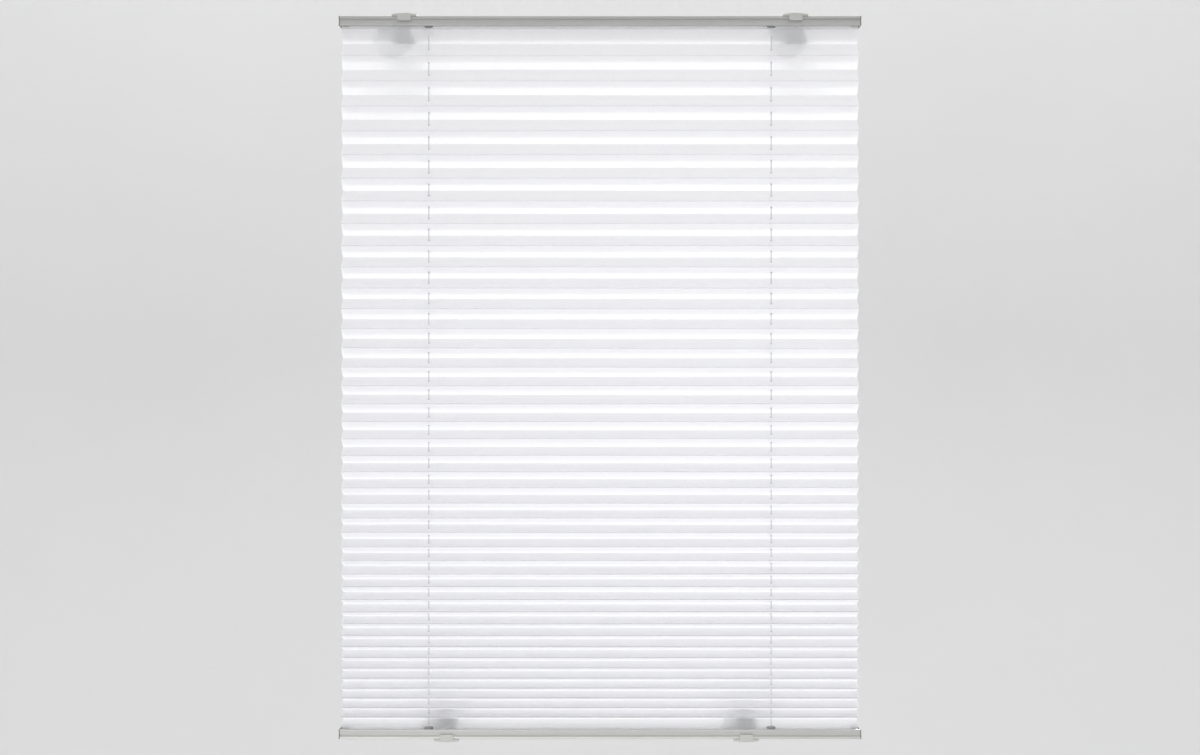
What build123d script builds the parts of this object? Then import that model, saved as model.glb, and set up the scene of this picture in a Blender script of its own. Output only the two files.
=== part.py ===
from build123d import *
import os
from math import sqrt

# Pleated blind that is stuck on a window pane with four suction cups.
# A white fabric of sharp folds hangs between two slim aluminium rails. Two cords run down through
# holes in the folds. Each rail is held by two clip brackets, and each bracket by a cup on the pane.
#
# Frame: X along the rails, to the right seen from the room. Y runs from the room into the pane.
# Z is up. The origin lies on the pane, midway between the centres of the two upper cups.
#
# Rail pieces are modelled once, in the rail's own frame: x along the rail, y as above, and z from the
# rail's outer face (0) towards the fabric. The upper rail's pieces are turned half round about Y.

os.makedirs("parts", exist_ok=True)

# ---------------------------------------------------------------- driving sizes, millimetres
rail_length = 593.0  # over the end caps
drop = 820.0  # from the upper rail's outer face to the lower rail's
glass_gap = 16.5  # from a rail's back lip to the pane

# rail extrusion
rail_depth = 21.0  # over the front and back lips
rail_height = 10.6
rail_wall = 1.1
lip_height = 3.0
lip_reach = 1.6  # how far a lip stands out from the wall beside it
wall_flare = 1.2  # how far the wall leans out again at its fabric edge
slot_width = 13.0  # the opening that the fabric leaves by
lip_radius = 0.4
foot_radius = 1.0

# end caps
cap_thickness = 1.5
plug_length = 8.0
plug_gap = 0.1

# strip that the fabric is bonded to, inside each rail
strip_thickness = 1.3
strip_side_gap = 0.3
strip_end_gap = 1.0

# fabric
fabric_side_gap = 1.0  # between the fabric's edge and an end cap
fabric_thickness = 0.3
fold_face = 20.0  # from one fold to the next, along the fabric
fold_count = 42  # front folds, and as many back folds
fold_tight = 0.35  # pitch of the lowest pleat over the pitch of the highest
fold_curve = 1.3  # how fast the pitch falls on the way down
first_fold = 3.6  # from the upper rail to the first front fold
last_fold = 9.1  # from the last back fold to the lower rail
bond_width = 5.8  # the flat part that is bonded to the strip
soft_gap = 0.3  # between a soft piece and what it lies against

# cords and what they run through
cord_reach = 195.0  # from the blind's middle to a cord
cord_diameter = 0.9
cord_hole = 3.0  # diameter of the punched holes
cord_bend = 3.0  # less where the rail leaves no room for it
cord_bend_room = 0.2  # between the bushing's inner end and the start of the bend
knot_diameter = 3.0
bushing_bore = 1.8
bushing_flange = 9.5
bushing_flange_depth = 3.0
bushing_body = 6.0
bushing_fit = 0.1
bushing_inside = 1.0  # how far the bushing stands out of the strip inside the rail
cord_line = 4.0  # from the upper rail's outer face to the cord's run along the rail

# springs that keep the cords straight
anchor_length = 12.0
anchor_width = 12.0
stud_length = 3.0
spring_length = 30.0
spring_wire = 0.4
spring_bore = 3.1
spring_pitch = 1.2
spring_fit = 0.1
sleeve_length = 7.0
sleeve_bore_depth = 4.0
sleeve_diameter = 3.8
sleeve_fit = 0.05

# clip brackets
bracket_at = {
    "top_left": -222.0,
    "top_right": 222.0,
    "bottom_left": -174.0,
    "bottom_right": 166.0,
}
clip_gap = 0.1  # all round the lips, so that the bracket slides along the rail
head_width = 28.4
head_height = 3.4  # in the middle of its arched outer face
head_end_height = 2.2
head_bow = 1.0  # how far its front edge is bowed
tongue_width = 15.0
tongue_thickness = 1.7
tongue_depth = 5.1  # from the rail's outer face
tongue_bevel = 0.7
hook_gap = 0.5  # between a hook's tip and the rail's wall
arm_thickness = 2.0
head_edge_radius = 0.6
arm_bend = 1.1  # height beside the rail before its step, and half the step's height
arm_end_radius = 11.0
cup_line = 21.0  # from the rail's outer face to the cup's centre

# suction cups
cup_diameter = 40.0
cup_land = 1.2  # flat ring that meets the pane
cup_rim = 0.8
cup_hollow = 3.5
boss_radius = 6.0
boss_length = 2.0
neck_diameter = 5.0
neck_fit = 0.15  # between the neck and the bracket's slot
neck_play = 0.1
knob_diameter = 8.6
knob_thickness = 1.9
knob_room = 0.8  # between the deepest possible fold and the knob
tab_width = 8.0
tab_length = 7.0
tab_turn = {"top_left": 0, "top_right": -60, "bottom_left": -120, "bottom_right": -60}

# ---------------------------------------------------------------- worked-out places
half_depth = rail_depth / 2
neck = half_depth - lip_reach  # outer face of the wall beside a lip
foot = neck + wall_flare  # outer face of the wall at its fabric edge
inner = neck - rail_wall
inner_foot = foot - rail_wall
ledge = rail_height - rail_wall  # inner face of the two flanges beside the slot
strip_face = ledge - strip_thickness
pane = half_depth + glass_gap  # from the rail's middle
rail_y = -pane
top_face = cup_line
bottom_face = top_face - drop
extrusion_length = rail_length - 2 * cap_thickness
arm_front = half_depth + clip_gap
knob_front = fold_face / 2 + knob_room
arm_offset = knob_front + knob_thickness + neck_play - arm_front  # its step towards the pane
bend_space = strip_face - bushing_inside - cord_bend_room - cord_line
bend_radius = min(cord_bend, bend_space)


def place(end, x=0.0):
    """Rail frame to the blind's frame, for the upper or the lower rail, x along the blind."""
    if end.startswith("top"):
        return Location((x, rail_y, top_face), (0, 180, 0))
    return Location((x, rail_y, bottom_face))


def both_sides(points):
    """A closed outline from the points of its +y half, which start and end near y = 0."""
    return Polyline(*points, *[(-y, z) for y, z in reversed(points)], close=True)


# ---------------------------------------------------------------- rails and end caps
def rail():
    """Aluminium C section: lips for the clips at the outer face, and a slot towards the fabric."""
    face = make_face(
        both_sides(
            [
                (half_depth, 0),
                (half_depth, lip_height),
                (neck, lip_height),
                (foot, rail_height),
                (slot_width / 2, rail_height),
                (slot_width / 2, ledge),
                (inner_foot, ledge),
                (inner, lip_height),
                (inner, rail_wall),
            ]
        )
    )
    lips = [v for v in face.vertices() if abs(v.X) > half_depth - 0.01]
    face = fillet(lips, lip_radius)
    feet = [v for v in face.vertices() if abs(abs(v.X) - foot) < 0.01 and v.Y > ledge]
    face = fillet(feet, foot_radius)
    return extrude(Plane.YZ * face, extrusion_length / 2, both=True)


def end_cap():
    """Moulded cap for the rail's +x end: a plate of the rail's outline and a plug in its hollow."""
    outline = both_sides(
        [(half_depth, 0), (half_depth, lip_height), (neck, lip_height), (foot, rail_height)]
    )
    plate = extrude(Plane.YZ * make_face(outline), cap_thickness)
    plate = fillet(plate.faces().sort_by(Axis.X)[-1].edges(), lip_radius)
    hollow = both_sides(
        [
            (inner - plug_gap, rail_wall + plug_gap),
            (inner - plug_gap, lip_height),
            (inner_foot - 2 * plug_gap, ledge - plug_gap),
        ]
    )
    plug = extrude(Plane.YZ * make_face(hollow), -plug_length)
    return Pos(extrusion_length / 2, 0, 0) * (plate + plug)


# ---------------------------------------------------------------- strips and cord bushings
def strip():
    """Flat bar that lies on the two flanges inside the rail, with a hole for each bushing."""
    length = extrusion_length - 2 * (plug_length + strip_end_gap)
    width = 2 * (inner - strip_side_gap)
    bar = Pos(0, 0, (strip_face + ledge) / 2) * Box(length, width, strip_thickness)
    for x in (-cord_reach, cord_reach):
        hole = Cylinder(bushing_body / 2 + bushing_fit, 3 * strip_thickness)
        bar -= Pos(x, 0, ledge) * hole
    return bar


def bushing():
    """Dark eyelet that the cord runs through: body in the strip's hole, flange in the rail's slot."""
    low = strip_face - bushing_inside
    high = ledge + bushing_flange_depth
    up = (Align.CENTER, Align.CENTER, Align.MIN)
    flange = Cylinder(bushing_flange / 2, high - ledge, align=up)
    flange = fillet(flange.edges().sort_by(Axis.Z)[-1], 0.8)
    body = Cylinder(bushing_body / 2, ledge - low, align=up)
    bore = Cylinder(bushing_bore / 2, high - low, align=up)
    return Pos(0, 0, ledge) * flange + Pos(0, 0, low) * body - Pos(0, 0, low) * bore


# ---------------------------------------------------------------- fabric
def fold_line():
    """The fabric's middle line, as (y, z) in the blind's frame, from the upper bond to the lower.

    Each pleat carries the weight of those below it, so the pitch is widest at the top:
    pitch = tight + (1 - tight) * (1 - t) ** curve, with t from 0 to 1 on the way down, scaled to
    fill the drop. A face is fold_face long, so its depth follows from its height.
    """
    high = top_face - rail_height - first_fold
    low = bottom_face + rail_height + last_fold
    steps = [(fold_count - 1 - i) / (fold_count - 1) for i in range(fold_count)]
    pitches = [fold_tight + (1 - fold_tight) * s**fold_curve for s in steps]
    pitches[-1] /= 2  # the last front fold is followed by one face, to the last back fold
    scale = (high - low) / sum(pitches)
    bond = ledge + soft_gap + fabric_thickness / 2
    line = [(rail_y + bond_width, top_face - bond), (rail_y, top_face - bond)]
    z = high
    for i, pitch in enumerate(pitches):
        rise = pitch * scale / 2 if i < fold_count - 1 else pitch * scale
        depth = sqrt(fold_face**2 - rise**2) / 2
        line += [(rail_y - depth, z), (rail_y + depth, z - rise)]
        z -= pitch * scale
    return line + [(rail_y, bottom_face + bond), (rail_y - bond_width, bottom_face + bond)]


def thicken(line, thickness):
    """Outline of a strip of that thickness about a folded line, mitred at its folds."""
    points = [Vector(y, z) for y, z in line]
    runs = [(b - a).normalized() for a, b in zip(points, points[1:])]
    sides = [Vector(-r.Y, r.X) * (thickness / 2) for r in runs]
    left, right = [points[0] + sides[0]], [points[0] - sides[0]]
    for point, before, after in zip(points[1:-1], sides, sides[1:]):
        corner = before + after
        corner *= before.dot(before) / corner.dot(before)
        left.append(point + corner)
        right.append(point - corner)
    left.append(points[-1] + sides[-1])
    right.append(points[-1] - sides[-1])
    return left + right[::-1]


def fabric():
    """One folded sheet with a punched hole in every face for each cord."""
    width = extrusion_length - 2 * fabric_side_gap
    outline = [(p.X, p.Y) for p in thicken(fold_line(), fabric_thickness)]
    sheet = extrude(Plane.YZ * make_face(Polyline(*outline, close=True)), width / 2, both=True)
    middle = (top_face + bottom_face) / 2
    rim = bushing_flange / 2 + 2 * soft_gap
    for x in (-cord_reach, cord_reach):
        sheet -= Pos(x, rail_y, middle) * Cylinder(cord_hole / 2, drop)
        for face, way in ((top_face, -1), (bottom_face, 1)):
            reach = bushing_flange_depth + 2 * soft_gap
            sheet -= Pos(x, rail_y, face + way * (ledge + reach / 2)) * Cylinder(rim, reach)
    return sheet


# ---------------------------------------------------------------- cords, springs and their anchor
spring_start = anchor_length / 2
sleeve_start = spring_start + spring_length
cord_end = sleeve_start + sleeve_length - sleeve_bore_depth


def cord():
    """Right-hand cord: knotted in the lower rail, up through the folds, then along the upper rail."""
    run = top_face - cord_line
    knot = bottom_face + strip_face - bushing_inside - soft_gap - knot_diameter / 2
    corners = [(cord_reach, rail_y, knot), (cord_reach, rail_y, run), (cord_end, rail_y, run)]
    path = FilletPolyline(*corners, radius=bend_radius)
    start = Plane((cord_reach, rail_y, knot), z_dir=(0, 0, 1))
    tube = sweep(start * Circle(cord_diameter / 2), path=path)
    print(f"cord length {path.length:.1f}, bend radius {bend_radius:.2f}")
    return tube + Pos(cord_reach, rail_y, knot) * Sphere(knot_diameter / 2)


def sleeve():
    """Crimped end of the right-hand cord: a bore for the cord and a stud inside the spring."""
    along = (Align.CENTER, Align.CENTER, Align.MIN)
    stud = Cylinder(spring_bore / 2 - spring_fit, stud_length, align=along)
    barrel = Cylinder(sleeve_diameter / 2, sleeve_length, align=along)
    bore = Cylinder(cord_diameter / 2 + sleeve_fit, sleeve_bore_depth, align=along)
    piece = barrel + Pos(0, 0, -stud_length) * stud
    piece -= Pos(0, 0, sleeve_length - sleeve_bore_depth) * bore
    return Pos(sleeve_start, rail_y, top_face - cord_line) * Rot(0, 90, 0) * piece


def spring():
    """Right-hand tension spring, stretched a little between the anchor's stud and the sleeve's."""
    mean = (spring_bore + spring_wire) / 2
    length = spring_length - 1.5 * spring_wire
    helix = Helix(spring_pitch, length, mean)
    start = Plane(origin=helix @ 0, z_dir=helix % 0)
    coil = sweep(start * Circle(spring_wire / 2), path=helix, is_frenet=True)
    low = spring_start + 0.75 * spring_wire
    return Pos(low, rail_y, top_face - cord_line) * Rot(0, 90, 0) * coil


def anchor():
    """Block in the middle of the upper rail's hollow, with a stud for each spring."""
    height = strip_face - rail_wall
    block = Box(anchor_length, anchor_width, height)
    block = chamfer(block.edges().filter_by(Axis.Z), 1.0)
    middle = top_face - (strip_face + rail_wall) / 2
    stud = Cylinder(spring_bore / 2 - spring_fit, anchor_length + 2 * stud_length)
    studs = Pos(0, rail_y, top_face - cord_line) * Rot(0, 90, 0) * stud
    return Pos(0, rail_y, middle) * block + studs


# ---------------------------------------------------------------- clip brackets and suction cups
def clip_bracket():
    """Moulded clip: an arched head on the rail's outer face, a tongue that hooks the front lip, a
    hook behind the back lip, and an arm with an open slot for the cup's neck."""
    side = head_width / 2
    low = -clip_gap
    front = -(half_depth + clip_gap + tongue_thickness)
    back = arm_front + arm_thickness
    ends = low - head_end_height
    arch = ThreePointArc((-side, ends), (0, low - head_height), (side, ends))
    under = Polyline((side, ends), (side, low), (-side, low), (-side, ends))
    head = extrude(Plane.XZ * make_face([*arch.edges(), *under.edges()]), rail_depth, both=True)
    bow = ThreePointArc((-side, front + head_bow), (0, front), (side, front + head_bow))
    behind = Polyline((side, front + head_bow), (side, back), (-side, back), (-side, front + head_bow))
    head &= extrude(Plane.XY * make_face([*bow.edges(), *behind.edges()]), 2 * head_height, both=True)
    head = fillet(head.faces().sort_by(Axis.Z)[0].edges(), head_edge_radius)

    hook_face = lip_height + clip_gap
    tip = neck + hook_gap
    inside = half_depth + clip_gap
    root = low - head_end_height / 2
    beside = inside + arm_thickness / 2
    tongue = [
        (front, root),
        (front, tongue_depth - tongue_bevel),
        (front + tongue_bevel, tongue_depth),
        (-tip - tongue_bevel, tongue_depth),
        (-tip, tongue_depth - tongue_bevel),
        (-tip, hook_face),
        (-inside, hook_face),
        (-inside, root),
    ]
    tongue = extrude(Plane.YZ * make_face(Polyline(*tongue, close=True)), tongue_width / 2, both=True)
    hook = [
        (beside, hook_face),
        (tip, hook_face),
        (tip, tongue_depth - tongue_bevel),
        (tip + tongue_bevel, tongue_depth),
        (beside, tongue_depth + tongue_bevel),
    ]
    hook = extrude(Plane.YZ * make_face(Polyline(*hook, close=True)), tongue_width / 2, both=True)

    end = cup_line + arm_end_radius
    bend = rail_height + arm_bend
    step = bend + 2 * arm_bend
    stepped = arm_front + arm_offset
    side_view = Polyline(
        (arm_front, root),
        (arm_front, bend),
        (stepped, step),
        (stepped, end),
        (stepped + arm_thickness, end),
        (stepped + arm_thickness, step),
        (back, bend),
        (back, root),
        close=True,
    )
    arm = extrude(Plane.YZ * make_face(side_view), side, both=True)
    r = arm_end_radius
    tip_arc = ThreePointArc((r, cup_line), (0, end), (-r, cup_line))
    left_side = [(-r, cup_line), (-side, rail_height), (-side, root)]
    sides = Polyline(*left_side, *[(-x, z) for x, z in reversed(left_side)])
    arm &= extrude(Plane.XZ * make_face([*tip_arc.edges(), *sides.edges()]), 2 * pane, both=True)
    slot_radius = neck_diameter / 2 + neck_fit
    slot = Rot(90, 0, 0) * Cylinder(slot_radius, 2 * pane)
    slot += Pos(0, 0, arm_end_radius) * Box(2 * slot_radius, 2 * pane, 2 * arm_end_radius)
    return head + tongue + hook + arm - Pos(0, 0, cup_line) * slot


def suction_cup(turn):
    """Clear cup turned about Y: knob, neck, boss and bell, with a pull tab at the given angle."""
    front = knob_front + knob_thickness
    boss = arm_front + arm_offset + arm_thickness + neck_play
    rim = cup_diameter / 2
    land = rim - cup_land
    curve = (land**2 + cup_hollow**2) / (2 * cup_hollow)
    mid_depth = cup_hollow - (curve - sqrt(curve**2 - (land / 2) ** 2))
    knob = knob_diameter / 2
    stem = neck_diameter / 2
    bell_foot = boss + boss_length
    bell_edge = pane - cup_rim
    bell_mid = ((boss_radius + rim) / 2, bell_foot + 0.68 * (bell_edge - bell_foot))
    inside = ThreePointArc((0, pane - cup_hollow), (land / 2, pane - mid_depth), (land, pane))
    edge = Polyline((land, pane), (rim, pane), (rim, bell_edge))
    bell = ThreePointArc((rim, bell_edge), bell_mid, (boss_radius, bell_foot))
    stalk = Polyline(
        (boss_radius, bell_foot),
        (boss_radius, boss),
        (stem, boss),
        (stem, front),
        (knob, front),
        (knob, front - knob_thickness / 2),
        (knob - knob_thickness / 2, knob_front),
        (0, knob_front),
        (0, pane - cup_hollow),
    )
    outline = [*inside.edges(), *edge.edges(), *bell.edges(), *stalk.edges()]
    cup = revolve(Plane.XY * make_face(outline), Axis.Y)
    round_end = rim + tab_length - tab_width / 2
    from_land = (Align.MIN, Align.CENTER, Align.CENTER)
    bar = Pos(land, 0, 0) * Box(round_end - land, tab_width, cup_rim, align=from_land)
    bar += Pos(round_end, 0, 0) * Cylinder(tab_width / 2, cup_rim)
    tab = Pos(0, pane - cup_rim / 2, 0) * Rot(0, -turn, 0) * Rot(90, 0, 0) * bar
    return Pos(0, 0, cup_line) * (cup + tab)


# ---------------------------------------------------------------- the pieces in their places
pieces = {}
rail_piece, strip_piece, cap, eyelet, clip = rail(), strip(), end_cap(), bushing(), clip_bracket()

for end in ("top", "bottom"):
    pieces[f"{end}_rail"] = place(end) * rail_piece
    pieces[f"retaining_strip_{end}"] = place(end) * strip_piece
    for hand, side in (("left", -1), ("right", 1)):
        turn = 180 if (side < 0) == (end == "bottom") else 0
        pieces[f"end_cap_{end}_{hand}"] = place(end) * Rot(0, 0, turn) * cap
        pieces[f"cord_bushing_{end}_{hand}"] = place(end, side * cord_reach) * eyelet

for corner, x in bracket_at.items():
    pieces[f"clip_bracket_{corner}"] = place(corner, x) * clip
    pieces[f"suction_cup_{corner}"] = place(corner, x) * suction_cup(tab_turn[corner])

pieces["pleated_fabric"] = fabric()
pieces["spring_anchor"] = anchor()
for name, piece in (("cord", cord()), ("cord_sleeve", sleeve()), ("tension_spring", spring())):
    pieces[f"{name}_right"] = piece
    pieces[f"{name}_left"] = mirror(piece, about=Plane.YZ)

flat = fold_line()
length = sum(sqrt((a - c) ** 2 + (b - d) ** 2) for (a, b), (c, d) in zip(flat, flat[1:]))
print(f"fabric {extrusion_length - 2 * fabric_side_gap:.1f} wide, {length:.1f} long when flat")

for name, piece in pieces.items():
    export_step(piece, f"parts/{name}.step")
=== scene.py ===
import math

import bmesh
import bpy
import numpy as np
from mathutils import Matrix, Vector


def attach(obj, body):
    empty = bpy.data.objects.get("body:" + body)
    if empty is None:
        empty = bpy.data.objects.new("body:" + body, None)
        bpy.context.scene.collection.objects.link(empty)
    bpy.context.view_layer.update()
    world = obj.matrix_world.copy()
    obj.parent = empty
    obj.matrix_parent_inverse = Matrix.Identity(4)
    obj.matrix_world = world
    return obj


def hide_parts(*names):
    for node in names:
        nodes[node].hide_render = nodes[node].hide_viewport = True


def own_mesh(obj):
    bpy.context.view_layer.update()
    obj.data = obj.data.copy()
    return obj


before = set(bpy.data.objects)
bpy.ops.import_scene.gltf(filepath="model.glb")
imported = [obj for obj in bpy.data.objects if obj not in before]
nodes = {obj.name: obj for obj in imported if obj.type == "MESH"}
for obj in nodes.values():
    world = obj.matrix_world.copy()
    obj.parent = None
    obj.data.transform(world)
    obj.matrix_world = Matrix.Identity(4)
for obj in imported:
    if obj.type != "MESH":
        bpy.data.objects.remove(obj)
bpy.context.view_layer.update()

# ------------------------------------------------------------------ camera
# The blind is looked at level from the room, from the height of its middle,
# so that both rails turn the lips on their inner side towards the eye.
eye_distance, eye_height = 2.2375, -0.389
room_lens = bpy.data.cameras.new("room_view")
room_lens.sensor_width = 36
room_lens.lens = 58.2
room_view = bpy.data.objects.new("room_view", room_lens)
room_view.location = (0, -eye_distance, eye_height)
room_view.rotation_euler = (math.pi / 2, 0, 0)
bpy.context.scene.collection.objects.link(room_view)
bpy.context.scene.camera = room_view
bpy.context.scene.view_settings.view_transform = "Standard"

# ------------------------------------------------------------------ studio
# A pale round cove of matt painted plaster: a floor well below the blind
# that turns up into a wall, with daylight behind the blind and a soft fill.


def linear(hex_colour):
    """An sRGB hex colour as linear red, green, blue and a full alpha."""
    parts = (int(hex_colour[i:i + 2], 16) / 255 for i in (1, 3, 5))
    return (*(p / 12.92 if p <= 0.04045 else ((p + 0.055) / 1.055) ** 2.4 for p in parts), 1)


def add(tree, kind, settings, links=()):
    """Adds a node. A setting goes to the input of that name or number, or else
    to the node itself. Each link is (input, output of an earlier node)."""
    node = tree.nodes.new(kind)
    for name, value in settings.items():
        if isinstance(name, int) or name in node.inputs:
            node.inputs[name].default_value = value
        else:
            setattr(node, name, value)
    for name, output in links:
        tree.links.new(output, node.inputs[name])
    return node


def new_material(name):
    """A material with no nodes in it yet, and its node tree."""
    material = bpy.data.materials.new(name)
    material.use_nodes = True
    material.node_tree.nodes.clear()
    return material, material.node_tree


def lay_grid(name, points, around=False, keep=None, uv=None):
    """A mesh over a grid of points [row, column, xyz]. Each quad has a point,
    the one in the next row and the two in the next column, so it faces along
    row direction x column direction. With around, the last column joins the
    first. keep picks the quads to make, and uv is [row, column, 2]."""
    rows, columns = points.shape[:2]
    number = np.arange(rows * columns).reshape(rows, columns)
    place = np.arange(rows * (columns + around)).reshape(rows, columns + around)
    if around:
        number = np.concatenate([number, number[:, :1]], axis=1)
    corners = [(slice(None, -1), slice(None, -1)), (slice(1, None), slice(None, -1)),
               (slice(1, None), slice(1, None)), (slice(None, -1), slice(1, None))]
    quads = np.stack([number[c] for c in corners], axis=-1)
    uv_corners = np.stack([place[c] for c in corners], axis=-1)
    keep = np.ones(quads.shape[:2], bool) if keep is None else keep
    mesh = bpy.data.meshes.new(name)
    mesh.from_pydata(points.reshape(-1, 3).tolist(), [], quads[keep].tolist())
    if uv is not None:
        layer = mesh.uv_layers.new(name="cloth")
        layer.data.foreach_set("uv", uv.reshape(-1, 2)[uv_corners[keep].ravel()].ravel())
    mesh.polygons.foreach_set("use_smooth", np.ones(len(mesh.polygons), bool))
    mesh.update()
    piece = bpy.data.objects.new(name, mesh)
    bpy.context.scene.collection.objects.link(piece)
    return piece


def soft_light(name, place, aim, size, watts, spread=180):
    """A white rectangular light at place, turned to aim, that the camera does
    not see. Its beam opens by spread, in degrees, and is fullest in the middle."""
    lamp = bpy.data.lights.new(name, "AREA")
    lamp.shape = "RECTANGLE"
    lamp.size, lamp.size_y = size
    lamp.energy = watts
    lamp.spread = math.radians(spread)
    light = bpy.data.objects.new(name, lamp)
    light.location = place
    light.rotation_euler = (Vector(aim) - Vector(place)).to_track_quat("-Z", "Y").to_euler()
    light.visible_camera = False
    bpy.context.scene.collection.objects.link(light)


# Painted plaster: matt, with the faint mottle that a roller leaves. The real
# mottle is a few millimetres wide, and is drawn as clouds of 0.6 m.
plaster, tree = new_material("matt_painted_plaster")
spot = add(tree, "ShaderNodeTexCoord", {})
mottle = add(tree, "ShaderNodeTexNoise", {"Scale": 1.6, "Detail": 2.0}, [("Vector", spot.outputs["Object"])])
tone = add(tree, "ShaderNodeMix", {"data_type": "RGBA", 6: linear("#DFDFDF"), 7: linear("#E3E3E3")},
           [(0, mottle.outputs["Fac"])])
matt = add(tree, "ShaderNodeBsdfPrincipled", {"Roughness": 0.95, "Specular IOR Level": 0.2},
           [("Base Color", tone.outputs[2])])
add(tree, "ShaderNodeOutputMaterial", {}, [("Surface", matt.outputs[0])])

# The cove is a profile turned about the vertical axis: rings on the floor, a
# quarter circle and a straight wall.
cove_radius, cove_turn, cove_floor, cove_top = 3.6, 1.2, -1.5, 3.4
floor_rings = [0.001, 0.8, 1.6]
turn = np.linspace(0, np.pi / 2, 17)
cove_r = np.concatenate([floor_rings, cove_radius - cove_turn + cove_turn * np.sin(turn), [cove_radius]])
cove_z = np.concatenate([[0, 0, 0], cove_turn - cove_turn * np.cos(turn), [cove_top - cove_floor]]) + cove_floor
sweep = np.linspace(0, 2 * np.pi, 96, endpoint=False)
cove_points = [cove_r[:, None] * np.cos(sweep), cove_r[:, None] * np.sin(sweep), cove_z[:, None] + 0 * sweep]
cove = lay_grid("studio_cove", np.stack(cove_points, axis=-1), around=True)
cove.data.materials.append(plaster)

sky = bpy.data.worlds.new("pale_daylight")
sky.use_nodes = True
sky.node_tree.nodes["Background"].inputs["Color"].default_value = linear("#F8F8F9")
sky.node_tree.nodes["Background"].inputs["Strength"].default_value = 1.08
bpy.context.scene.world = sky
soft_light("sun_behind", (0.98, 2.7, 0.55), (0, 0, -1.2), (0.12, 0.12), 6.0, 66)
soft_light("wall_behind", (0, 0.9, 2.6), (0, 3.6, -0.4), (2.4, 0.8), 42)
soft_light("wall_in_front", (0, -0.9, 2.6), (0, -3.6, -0.4), (2.4, 0.8), 10)
soft_light("room_low", (-0.3, -1.9, -0.95), (0, 0, -0.85), (1.6, 0.4), 2.1, 90)

# ------------------------------------------------------------------ cords
# Braided polyester cords, 0.9 mm thick. Each is knotted inside the lower
# rail, goes up through the hole in every pleat, turns into the upper rail
# and ends in a crimped sleeve on a tension spring.

cord_thick, knot_thick = 0.0009, 0.0028
cord_reach, rail_middle = 0.195, -0.027  # from the blind's middle to a cord, and from the pane to both
cord_top, sleeve_at = 0.017, 0.039  # the height of its run in the upper rail, and where the sleeve is
knot_height, knot_rise = -0.7936, 0.0015  # the knot's middle, and how far below it the cord ends
braid_pitch = 0.0018  # one strand's way round, along the cord


def cord_line(side):
    """The cord's middle line: a smooth curve along the upper rail, down past
    the rail's corner and straight through the pleats to the knot."""
    route = [(sleeve_at, cord_top), (0.190, cord_top), (cord_reach, cord_top), (cord_reach, 0.012),
             (cord_reach, knot_height - knot_rise)]
    curve = bpy.data.curves.new("cord_route", "CURVE")
    curve.dimensions = "3D"
    spline = curve.splines.new("NURBS")
    spline.points.add(len(route) - 1)
    spline.points.foreach_set("co", [c for x, z in route for c in (side * x, rail_middle, z, 1)])
    spline.order_u, spline.use_endpoint_u, spline.resolution_u = 3, True, 60
    line = bpy.data.meshes.new_from_object(bpy.data.objects.new("cord_route", curve))
    found = np.empty(len(line.vertices) * 3)
    line.vertices.foreach_get("co", found)
    bpy.data.meshes.remove(line)
    bpy.data.curves.remove(curve)
    return found.reshape(-1, 3)


def close_ends(mesh):
    """Merges the points that lie together at a pole, so the surface is closed."""
    shape = bmesh.new()
    shape.from_mesh(mesh)
    bmesh.ops.remove_doubles(shape, verts=shape.verts, dist=1e-6)
    shape.to_mesh(mesh)
    shape.free()


def braided_cord(name, side):
    """A round tube: points at a radius round the middle line, in the plane
    square to its direction. The radius swells to the knot near the lower end
    and closes at both ends. UV is turns round the cord and braid pitches."""
    line = cord_line(side)
    run = np.concatenate([[0], np.cumsum(np.linalg.norm(np.diff(line, axis=0), axis=1))])
    knot_rows = run[-1] - np.linspace(0, 0.004, 14)
    end_row = [0.0002]
    along = np.unique(np.concatenate([run, knot_rows, end_row]))
    line = np.stack([np.interp(along, run, line[:, i]) for i in range(3)], axis=-1)
    way = np.gradient(line, along, axis=0)
    way /= np.linalg.norm(way, axis=1, keepdims=True)
    beside = np.array([0.0, 1.0, 0.0])
    across = np.cross(beside, way)
    from_knot = (along[-1] - knot_rise - along) / (knot_thick / 2)
    swell = np.sqrt(np.clip(1 - from_knot ** 2, 0, 1)) * knot_thick / 2
    in_knot = along[-1] - 0.0016
    radius = np.maximum(swell, cord_thick / 2 * (along < in_knot))
    radius[0] = 0
    angle = np.linspace(0, 2 * np.pi, 10, endpoint=False)
    points = line[:, None] + radius[:, None, None] * (
        np.cos(angle)[None, :, None] * beside + np.sin(angle)[None, :, None] * across[:, None])
    turns = np.linspace(0, 1, 11)
    uv = np.stack(np.broadcast_arrays(turns[None, :], (along / braid_pitch)[:, None]), axis=-1)
    cord = lay_grid(name, points, around=True, uv=uv)
    close_ends(cord.data)
    return cord


# Braided polyester: white strands that cross in small diamonds, dull. Their white
# is painted light grey, as painted shade for a cord lit from behind, and greyer
# still in the gaps, as painted shade between the strands. The real strands are
# about 0.4 mm wide, and are drawn 0.9 mm apart round the cord so that the diamonds show.
braid, tree = new_material("braided_polyester")
spot = add(tree, "ShaderNodeUVMap", {"uv_map": "cloth"})
strands = []
for lean in (4.0, -4.0):
    turned = add(tree, "ShaderNodeMapping", {"Scale": (lean, 1.0, 0.0)}, [("Vector", spot.outputs[0])])
    strands.append(add(tree, "ShaderNodeTexWave",
                       {"bands_direction": "DIAGONAL", "wave_profile": "SIN", "Scale": 0.5},
                       [("Vector", turned.outputs[0])]))
plait = add(tree, "ShaderNodeMath", {"operation": "MAXIMUM"},
            [(0, strands[0].outputs["Fac"]), (1, strands[1].outputs["Fac"])])
# Painted shade: light grey for the backlit cord, darker grey in the gaps between the strands.
tone = add(tree, "ShaderNodeMix", {"data_type": "RGBA", 6: linear("#A5A5A8"), 7: linear("#D6D6D9")},
           [(0, plait.outputs[0])])
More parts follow.
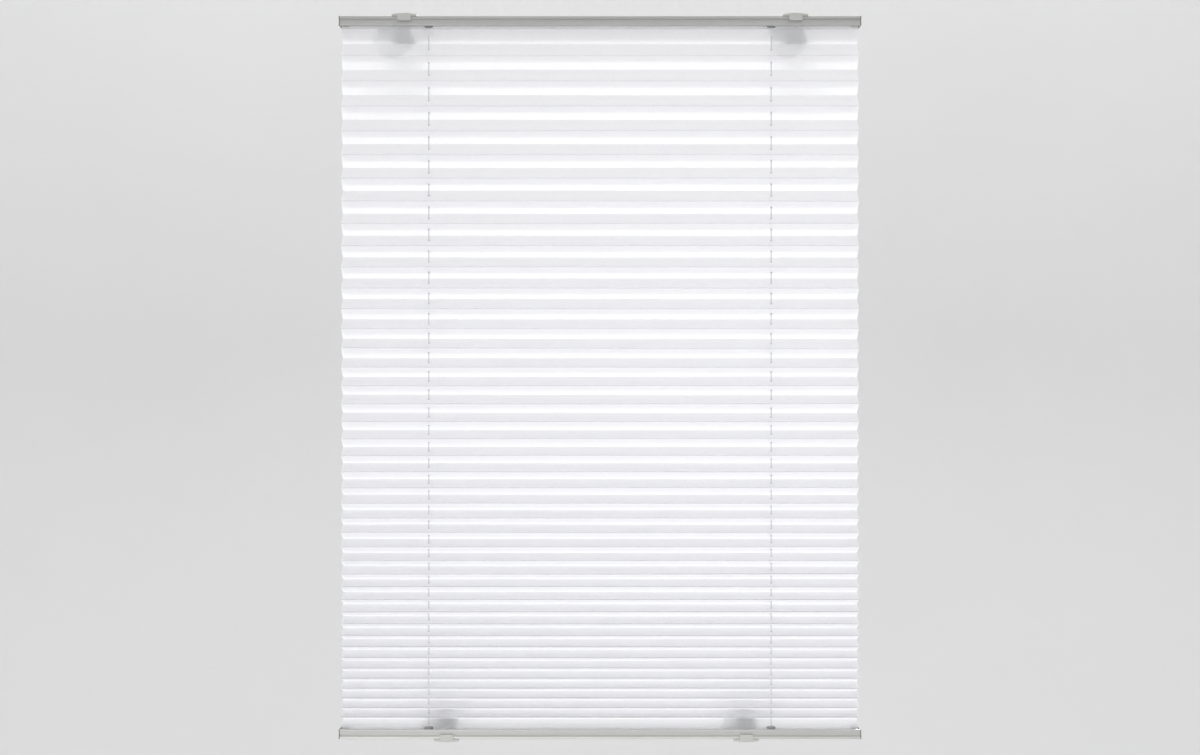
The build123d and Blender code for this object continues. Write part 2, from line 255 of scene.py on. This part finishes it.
relief = add(tree, "ShaderNodeBump", {"Strength": 0.6, "Distance": 0.0001}, [("Height", plait.outputs[0])])
fibre = add(tree, "ShaderNodeBsdfPrincipled", {"Roughness": 0.75, "Sheen Weight": 0.2},
            [("Base Color", tone.outputs[2]), ("Normal", relief.outputs[0])])
add(tree, "ShaderNodeOutputMaterial", {}, [("Surface", fibre.outputs[0])])

for hand, side in (("left", -1), ("right", 1)):
    cord = braided_cord(f"braided_cord_{hand}", side)
    cord.data.materials.append(braid)
    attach(cord, "top_rail")
    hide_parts(f"cord_{hand}")
    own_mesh(cord)

# ------------------------------------------------------------------ fabric
# One sheet of white polyester voile, 588 mm wide, pressed into pleats with
# faces of 20 mm and bonded at both ends to a strip in the rail. It hangs by
# its own weight, so the pleats stand open at the top and close at the bottom.

half_width, fold_face, fold_count = 0.294, 0.020, 42
upper_bond, lower_bond, bond_width = 0.01105, -0.78905, 0.0058
first_fold, last_fold = 0.0068, -0.7793
closed_share, hang_power = 0.35, 1.3
cord_hole, eyelet_hole = 0.0015, 0.0055  # radii, through a pleat and round an eyelet


def fold_line():
    """The cloth's (y, z) corners from bond to bond. The pitches shrink with
    the share of cloth that hangs below them, to the power 1.3, down to 35% of
    the first, and each face is 20 mm long, so it is as deep as its rise lets
    it. Only half of the last pitch is there: its back fold is the lowest."""
    share = np.linspace(1, 0, fold_count)
    pitch = closed_share + (1 - closed_share) * share ** hang_power
    pitch[-1] /= 2
    pitch *= (first_fold - last_fold) / pitch.sum()
    rise = pitch / 2
    rise[-1] *= 2
    depth = np.sqrt(fold_face ** 2 - rise ** 2) / 2
    front_z = first_fold - np.concatenate([[0], np.cumsum(pitch)[:-1]])
    folds = np.stack([np.stack([rail_middle - depth, front_z], -1),
                      np.stack([rail_middle + depth, front_z - rise], -1)], axis=1).reshape(-1, 2)
    return np.concatenate([[(rail_middle + bond_width, upper_bond), (rail_middle, upper_bond)], folds,
                           [(rail_middle, lower_bond), (rail_middle - bond_width, lower_bond)]])


corner = fold_line()
corner_at = np.concatenate([[0], np.cumsum(np.linalg.norm(np.diff(corner, axis=0), axis=1))])
ends = corner_at[-1]

# Rows lie close at each fold, to round it, and at each punched hole. The
# holes are midway down every full face and where the cloth leaves a bond.
hole_at = np.concatenate([corner_at[1:2], (corner_at[2:-3] + corner_at[3:-2]) / 2, corner_at[-2:-1]])
hole_size = np.full(len(hole_at), cord_hole)
hole_size[[0, -1]] = eyelet_hole
across_hole = hole_at[:, None] + hole_size[:, None] * np.array([-1, -0.5, 0, 0.5, 1])
beyond_hole = hole_at[1:-1, None] + np.array([-0.006, -0.0024, 0.0024, 0.006])
across_fold = corner_at[2:-2, None] + np.array([-0.001, -0.0004, 0, 0.0004, 0.001])
rows = np.concatenate([across_hole.ravel(), beyond_hole.ravel(), across_fold.ravel(), [0, ends]])
rows = np.unique(rows.round(6))

# Columns are 14 mm apart, and closer round each cord.
column_count, cord_patch = 43, 0.012
beside_hole = np.array([0, 0.00075, 0.0015, 0.0024, 0.004, 0.0055, 0.0088])
beside_hole = np.concatenate([-beside_hole[:0:-1], beside_hole])
wide = np.linspace(-half_width, half_width, column_count)
wide = wide[np.abs(np.abs(wide) - cord_reach) > cord_patch]
columns = np.sort(np.concatenate([wide, -cord_reach + beside_hole, cord_reach + beside_hole]))

# A square of grid points round each hole is drawn in to its circle: a point
# keeps its direction from the hole's middle and takes the larger of its two
# offsets as its distance.
x, run = (a.copy() for a in np.broadcast_arrays(columns[None, :], rows[:, None]))
nearest = np.abs(rows[:, None] - hole_at).argmin(axis=1)
reach = hole_size[nearest][:, None]
half = np.where(x < 0, -1, 1)
off_x = x - half * cord_reach
off_run = run - hole_at[nearest][:, None]
square = np.maximum(np.abs(off_x), np.abs(off_run))
inside = square <= reach + 1e-6
pull = np.where(inside, square / np.maximum(np.hypot(off_x, off_run), 1e-9), 1)
x = np.where(inside, half * cord_reach + off_x * pull, x)
run = np.where(inside, hole_at[nearest][:, None] + off_run * pull, run)
open_point = square < reach - 1e-6
keep = ~(open_point[:-1, :-1] | open_point[1:, :-1] | open_point[:-1, 1:] | open_point[1:, 1:])

# Each point is the mean of the fold line over 1.2 mm of cloth, which rounds
# the folds.
rounding = np.linspace(-0.0006, 0.0006, 7)
y, z = (np.mean([np.interp(np.clip(run + s, 0, ends), corner_at, corner[:, i]) for s in rounding], axis=0)
        for i in (0, 1))

# Every fold wanders up and down by about 0.3 mm along its length, in three
# sines of its own, less a share of its neighbours' wander, and the cloth
# between two folds follows both. It wanders in and out too, by less, except
# at the cords.
sway = ((0.00030, 0.7), (0.00007, 1.9), (0.00003, 4.3))  # size in metres, waves per metre
neighbour_share, in_and_out, cord_clear = 0.3, 0.4, 0.004
chance = np.random.default_rng(42)
folds = len(corner)
wander = 0
for size, waves in sway:
    swing = chance.normal(0, size, (folds, 1))
    start = chance.uniform(0, 6.28, (folds, 1))
    wander = wander + swing * np.sin(columns[None, :] * waves * 2 * np.pi + start)
wander[[0, 1, -1, -2]] = 0
wander[1:-1] = wander[1:-1] - 0.5 * (wander[:-2] + wander[2:]) * neighbour_share
at_fold = np.interp(run, corner_at, np.arange(folds))
before = np.clip(np.floor(at_fold).astype(int), 0, folds - 2)
part = at_fold - before
column = np.broadcast_to(np.arange(len(columns)), run.shape)
mirrored = column[:, ::-1]
z += (1 - part) * wander[before, column] + part * wander[before + 1, column]
outward = (1 - part) * wander[before, mirrored] + part * wander[before + 1, mirrored]
y += in_and_out * outward * (np.abs(off_x) > cord_clear)

sheet = lay_grid("pleated_voile", np.stack([x, y, z], axis=-1), keep=keep, uv=np.stack([x, run], axis=-1))

# Painted shade at each front fold, partly the denser pressed cloth there: it fades
# out 1.1 mm from the fold, and is stronger towards the bottom, where the pleats are closed.
fold_shade_reach, open_fold_shade = 0.0011, 0.35
from_fold = np.abs(run[..., None] - corner_at[2:-2:2]).min(axis=-1)
fold_shade_strength = open_fold_shade + (1 - open_fold_shade) * rows[:, None] / ends
pressed_fold_and_shade = np.clip(1 - from_fold / fold_shade_reach, 0, 1) * fold_shade_strength
crease_and_shade = sheet.data.attributes.new("crease_and_shade", "FLOAT", "POINT")
crease_and_shade.data.foreach_set("value", pressed_fold_and_shade.ravel().astype(np.float32))

# The points left over in the holes belong to no face, and are taken out.
shape = bmesh.new()
shape.from_mesh(sheet.data)
bmesh.ops.delete(shape, geom=[v for v in shape.verts if not v.link_faces], context="VERTS")
shape.to_mesh(sheet.data)
shape.free()

# Polyester voile: thin spun threads that scatter light both ways, so the
# cloth glows when it is lit from behind. Uneven threads give faint streaks
# along the weft. At a front fold the light through the cloth is darkened with
# painted shade, partly for the denser pressed cloth. The threads are 0.25 mm
# apart, too fine to show, and are drawn 0.8 mm apart.
voile, tree = new_material("white_polyester_voile")
spot = add(tree, "ShaderNodeUVMap", {"uv_map": "cloth"})
weft = add(tree, "ShaderNodeMapping", {"Scale": (70.0, 1250.0, 1.0)}, [("Vector", spot.outputs[0])])
streak = add(tree, "ShaderNodeTexNoise", {"noise_dimensions": "2D", "Scale": 1.0, "Detail": 2.0},
             [("Vector", weft.outputs[0])])
warp = add(tree, "ShaderNodeMapping", {"Scale": (1250.0, 90.0, 1.0)}, [("Vector", spot.outputs[0])])
cross = add(tree, "ShaderNodeTexNoise", {"noise_dimensions": "2D", "Scale": 1.0, "Detail": 1.0},
            [("Vector", warp.outputs[0])])
threads = add(tree, "ShaderNodeMath", {"operation": "ADD"},
              [(0, streak.outputs["Fac"]), (1, cross.outputs["Fac"])])
evenness = add(tree, "ShaderNodeMapRange", {"From Min": 0.7, "From Max": 1.3}, [("Value", threads.outputs[0])])
crease_and_shade_read = add(tree, "ShaderNodeAttribute", {"attribute_name": "crease_and_shade"})
lit_cloth = add(tree, "ShaderNodeMix", {"data_type": "RGBA", 6: linear("#F9F9FA"), 7: linear("#FDFDFE")},
                [(0, evenness.outputs[0])])
through_cloth = add(tree, "ShaderNodeMix", {"data_type": "RGBA", 6: linear("#F9F9FB"), 7: linear("#FDFDFF")},
                    [(0, evenness.outputs[0])])
# Painted shade: the light through the cloth turns to grey #9A9AA0 at a front fold, partly for the denser pressed
# cloth.
through_fold_shaded = add(tree, "ShaderNodeMix", {"data_type": "RGBA", 7: linear("#9A9AA0")},
                   [(0, crease_and_shade_read.outputs["Fac"]), (6, through_cloth.outputs[2])])
relief = add(tree, "ShaderNodeBump", {"Strength": 0.25, "Distance": 0.0001}, [("Height", threads.outputs[0])])
matt = add(tree, "ShaderNodeBsdfPrincipled",
           {"Roughness": 0.85, "Specular IOR Level": 0.25, "Sheen Weight": 0.15},
           [("Base Color", lit_cloth.outputs[2]), ("Normal", relief.outputs[0])])
glow = add(tree, "ShaderNodeBsdfTranslucent", {},
           [("Color", through_fold_shaded.outputs[2]), ("Normal", relief.outputs[0])])
both = add(tree, "ShaderNodeMixShader", {0: 0.62}, [(1, matt.outputs[0]), (2, glow.outputs[0])])
add(tree, "ShaderNodeOutputMaterial", {}, [("Surface", both.outputs[0])])
sheet.data.materials.append(voile)

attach(sheet, "top_rail")
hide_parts("pleated_fabric")
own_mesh(sheet)

# ------------------------------------------------------------------ rails
# Two aluminium extrusions of one profile, cut to length and anodised. Each
# has a slot towards the fabric and a lip front and back for the clips.


def finish_nodes(names, material):
    """Gives every slot of the named CAD pieces one material."""
    for name in names:
        for slot in nodes[name].material_slots:
            slot.material = material


# Satin anodised aluminium: a soft grey metal. The die leaves fine lines along
# the rail, real ones 0.1 mm apart, drawn 0.9 mm apart so that they show.
aluminium, tree = new_material("satin_anodised_aluminium")
spot = add(tree, "ShaderNodeTexCoord", {})
drawn = add(tree, "ShaderNodeMapping", {"Scale": (7.0, 1100.0, 1100.0)}, [("Vector", spot.outputs["Object"])])
lines = add(tree, "ShaderNodeTexNoise", {"Scale": 1.0, "Detail": 3.0}, [("Vector", drawn.outputs[0])])
cloud = add(tree, "ShaderNodeTexNoise", {"Scale": 14.0, "Detail": 2.0}, [("Vector", spot.outputs["Object"])])
tone = add(tree, "ShaderNodeMix", {"data_type": "RGBA", 6: linear("#C3C3C1"), 7: linear("#D2D2CF")},
           [(0, lines.outputs["Fac"])])
satin = add(tree, "ShaderNodeMapRange", {"To Min": 0.46, "To Max": 0.58}, [("Value", cloud.outputs["Fac"])])
relief = add(tree, "ShaderNodeBump", {"Strength": 0.3, "Distance": 0.00004}, [("Height", lines.outputs["Fac"])])
metal = add(tree, "ShaderNodeBsdfPrincipled", {"Metallic": 1.0},
            [("Base Color", tone.outputs[2]), ("Roughness", satin.outputs[0]), ("Normal", relief.outputs[0])])
add(tree, "ShaderNodeOutputMaterial", {}, [("Surface", metal.outputs[0])])
finish_nodes(("top_rail", "bottom_rail"), aluminium)

# ------------------------------------------------------------------ strips
# A flat white PVC bar lies inside each rail on its two flanges. The fabric's
# end is bonded to it, and the cord bushings sit in its two holes.


def moulded(name, low, high, roughness, grain, relief_depth):
    """A moulded plastic: its colour drifts between two tones over 20 mm, and
    an even fine grain of the given size in metres breaks up its gloss."""
    material, tree = new_material(name)
    spot = add(tree, "ShaderNodeTexCoord", {})
    drift = add(tree, "ShaderNodeTexNoise", {"Scale": 50.0, "Detail": 2.0},
                [("Vector", spot.outputs["Object"])])
    fine = add(tree, "ShaderNodeTexNoise", {"Scale": 1 / grain, "Detail": 1.0},
               [("Vector", spot.outputs["Object"])])
    tone = add(tree, "ShaderNodeMix", {"data_type": "RGBA", 6: linear(low), 7: linear(high)},
               [(0, drift.outputs["Fac"])])
    gloss = add(tree, "ShaderNodeMapRange", {"To Min": roughness - 0.06, "To Max": roughness + 0.06},
                [("Value", fine.outputs["Fac"])])
    relief = add(tree, "ShaderNodeBump", {"Strength": 0.4, "Distance": relief_depth},
                 [("Height", fine.outputs["Fac"])])
    skin = add(tree, "ShaderNodeBsdfPrincipled", {},
               [("Base Color", tone.outputs[2]), ("Roughness", gloss.outputs[0]), ("Normal", relief.outputs[0])])
    add(tree, "ShaderNodeOutputMaterial", {}, [("Surface", skin.outputs[0])])
    return material


# Extruded rigid PVC: white and even, half matt.
finish_nodes(("retaining_strip_top", "retaining_strip_bottom"),
             moulded("extruded_white_pvc", "#DCDCDA", "#E4E4E2", 0.5, 0.0010, 0.00003))

# ------------------------------------------------------------------ end caps
# A cap of grey ABS is pushed into each end of both rails. The mould is spark
# eroded, which gives a fine dull grain, close in tone to the aluminium.
finish_nodes([f"end_cap_{end}_{hand}" for end in ("top", "bottom") for hand in ("left", "right")],
             moulded("grained_grey_abs", "#8F8F8D", "#999996", 0.55, 0.0006, 0.00005))

# ------------------------------------------------------------------ cord bushings
# Dark eyelets of acetal, pressed into the strips, that keep the cord off the
# metal. Acetal is waxy, with a soft shine.
finish_nodes([f"cord_bushing_{end}_{hand}" for end in ("top", "bottom") for hand in ("left", "right")],
             moulded("dark_grey_acetal", "#97989A", "#A2A3A5", 0.38, 0.0005, 0.00002))

# ------------------------------------------------------------------ springs and sleeves
# In the upper rail each cord ends in a crimped brass sleeve, zinc plated, on
# a spring of drawn steel wire. Both springs hook on one moulded anchor.

# Zinc plate: bright bluish metal with a faint crystal mottle, 0.5 mm.
zinc, tree = new_material("bright_zinc_plate")
spot = add(tree, "ShaderNodeTexCoord", {})
flake = add(tree, "ShaderNodeTexVoronoi", {"Scale": 2000.0}, [("Vector", spot.outputs["Object"])])
tone = add(tree, "ShaderNodeMix", {"data_type": "RGBA", 6: linear("#C4C6CA"), 7: linear("#D6D8DA")},
           [(0, flake.outputs["Distance"])])
dull = add(tree, "ShaderNodeMapRange", {"To Min": 0.25, "To Max": 0.4}, [("Value", flake.outputs["Distance"])])
metal = add(tree, "ShaderNodeBsdfPrincipled", {"Metallic": 1.0},
            [("Base Color", tone.outputs[2]), ("Roughness", dull.outputs[0])])
add(tree, "ShaderNodeOutputMaterial", {}, [("Surface", metal.outputs[0])])
finish_nodes(("cord_sleeve_left", "cord_sleeve_right"), zinc)

# Drawn spring steel: grey, with a fine uneven shine, 0.3 mm, from the die.
steel, tree = new_material("drawn_spring_steel")
spot = add(tree, "ShaderNodeTexCoord", {})
marks = add(tree, "ShaderNodeTexNoise", {"Scale": 3000.0, "Detail": 2.0}, [("Vector", spot.outputs["Object"])])
tone = add(tree, "ShaderNodeMix", {"data_type": "RGBA", 6: linear("#9FA0A2"), 7: linear("#BDBEC0")},
           [(0, marks.outputs["Fac"])])
dull = add(tree, "ShaderNodeMapRange", {"To Min": 0.2, "To Max": 0.34}, [("Value", marks.outputs["Fac"])])
metal = add(tree, "ShaderNodeBsdfPrincipled", {"Metallic": 1.0},
            [("Base Color", tone.outputs[2]), ("Roughness", dull.outputs[0])])
add(tree, "ShaderNodeOutputMaterial", {}, [("Surface", metal.outputs[0])])
finish_nodes(("tension_spring_left", "tension_spring_right"), steel)

# Moulded acetal in its own milky white.
finish_nodes(("spring_anchor",), moulded("natural_acetal", "#D9D9D4", "#E2E2DD", 0.4, 0.0005, 0.00002))

# ------------------------------------------------------------------ clip brackets
# Each bracket is one piece of grey nylon: a head over the rail's outer face,
# a tongue over the front lip, and an arm to the pane that holds the cup.
places = [f"{end}_{hand}" for end in ("top", "bottom") for hand in ("left", "right")]
finish_nodes([f"clip_bracket_{p}" for p in places],
             moulded("satin_grey_nylon", "#CCCCC8", "#D4D4CF", 0.45, 0.0008, 0.00004))

# ------------------------------------------------------------------ suction cups
# Soft clear PVC, moulded in one piece with its neck, knob and pull tab. It is
# glossy, with slight ripples from the mould, 6 mm apart, and a faint cool tint.
clear, tree = new_material("clear_soft_pvc")
spot = add(tree, "ShaderNodeTexCoord", {})
ripple = add(tree, "ShaderNodeTexNoise", {"Scale": 160.0, "Detail": 1.0}, [("Vector", spot.outputs["Object"])])
haze = add(tree, "ShaderNodeMapRange", {"To Min": 0.04, "To Max": 0.12}, [("Value", ripple.outputs["Fac"])])
relief = add(tree, "ShaderNodeBump", {"Strength": 0.15, "Distance": 0.0004},
             [("Height", ripple.outputs["Fac"])])
gel = add(tree, "ShaderNodeBsdfPrincipled",
          {"Base Color": linear("#EEF3F2"), "Transmission Weight": 1.0, "IOR": 1.53},
          [("Roughness", haze.outputs[0]), ("Normal", relief.outputs[0])])
add(tree, "ShaderNodeOutputMaterial", {}, [("Surface", gel.outputs[0])])
finish_nodes([f"suction_cup_{p}" for p in places], clear)
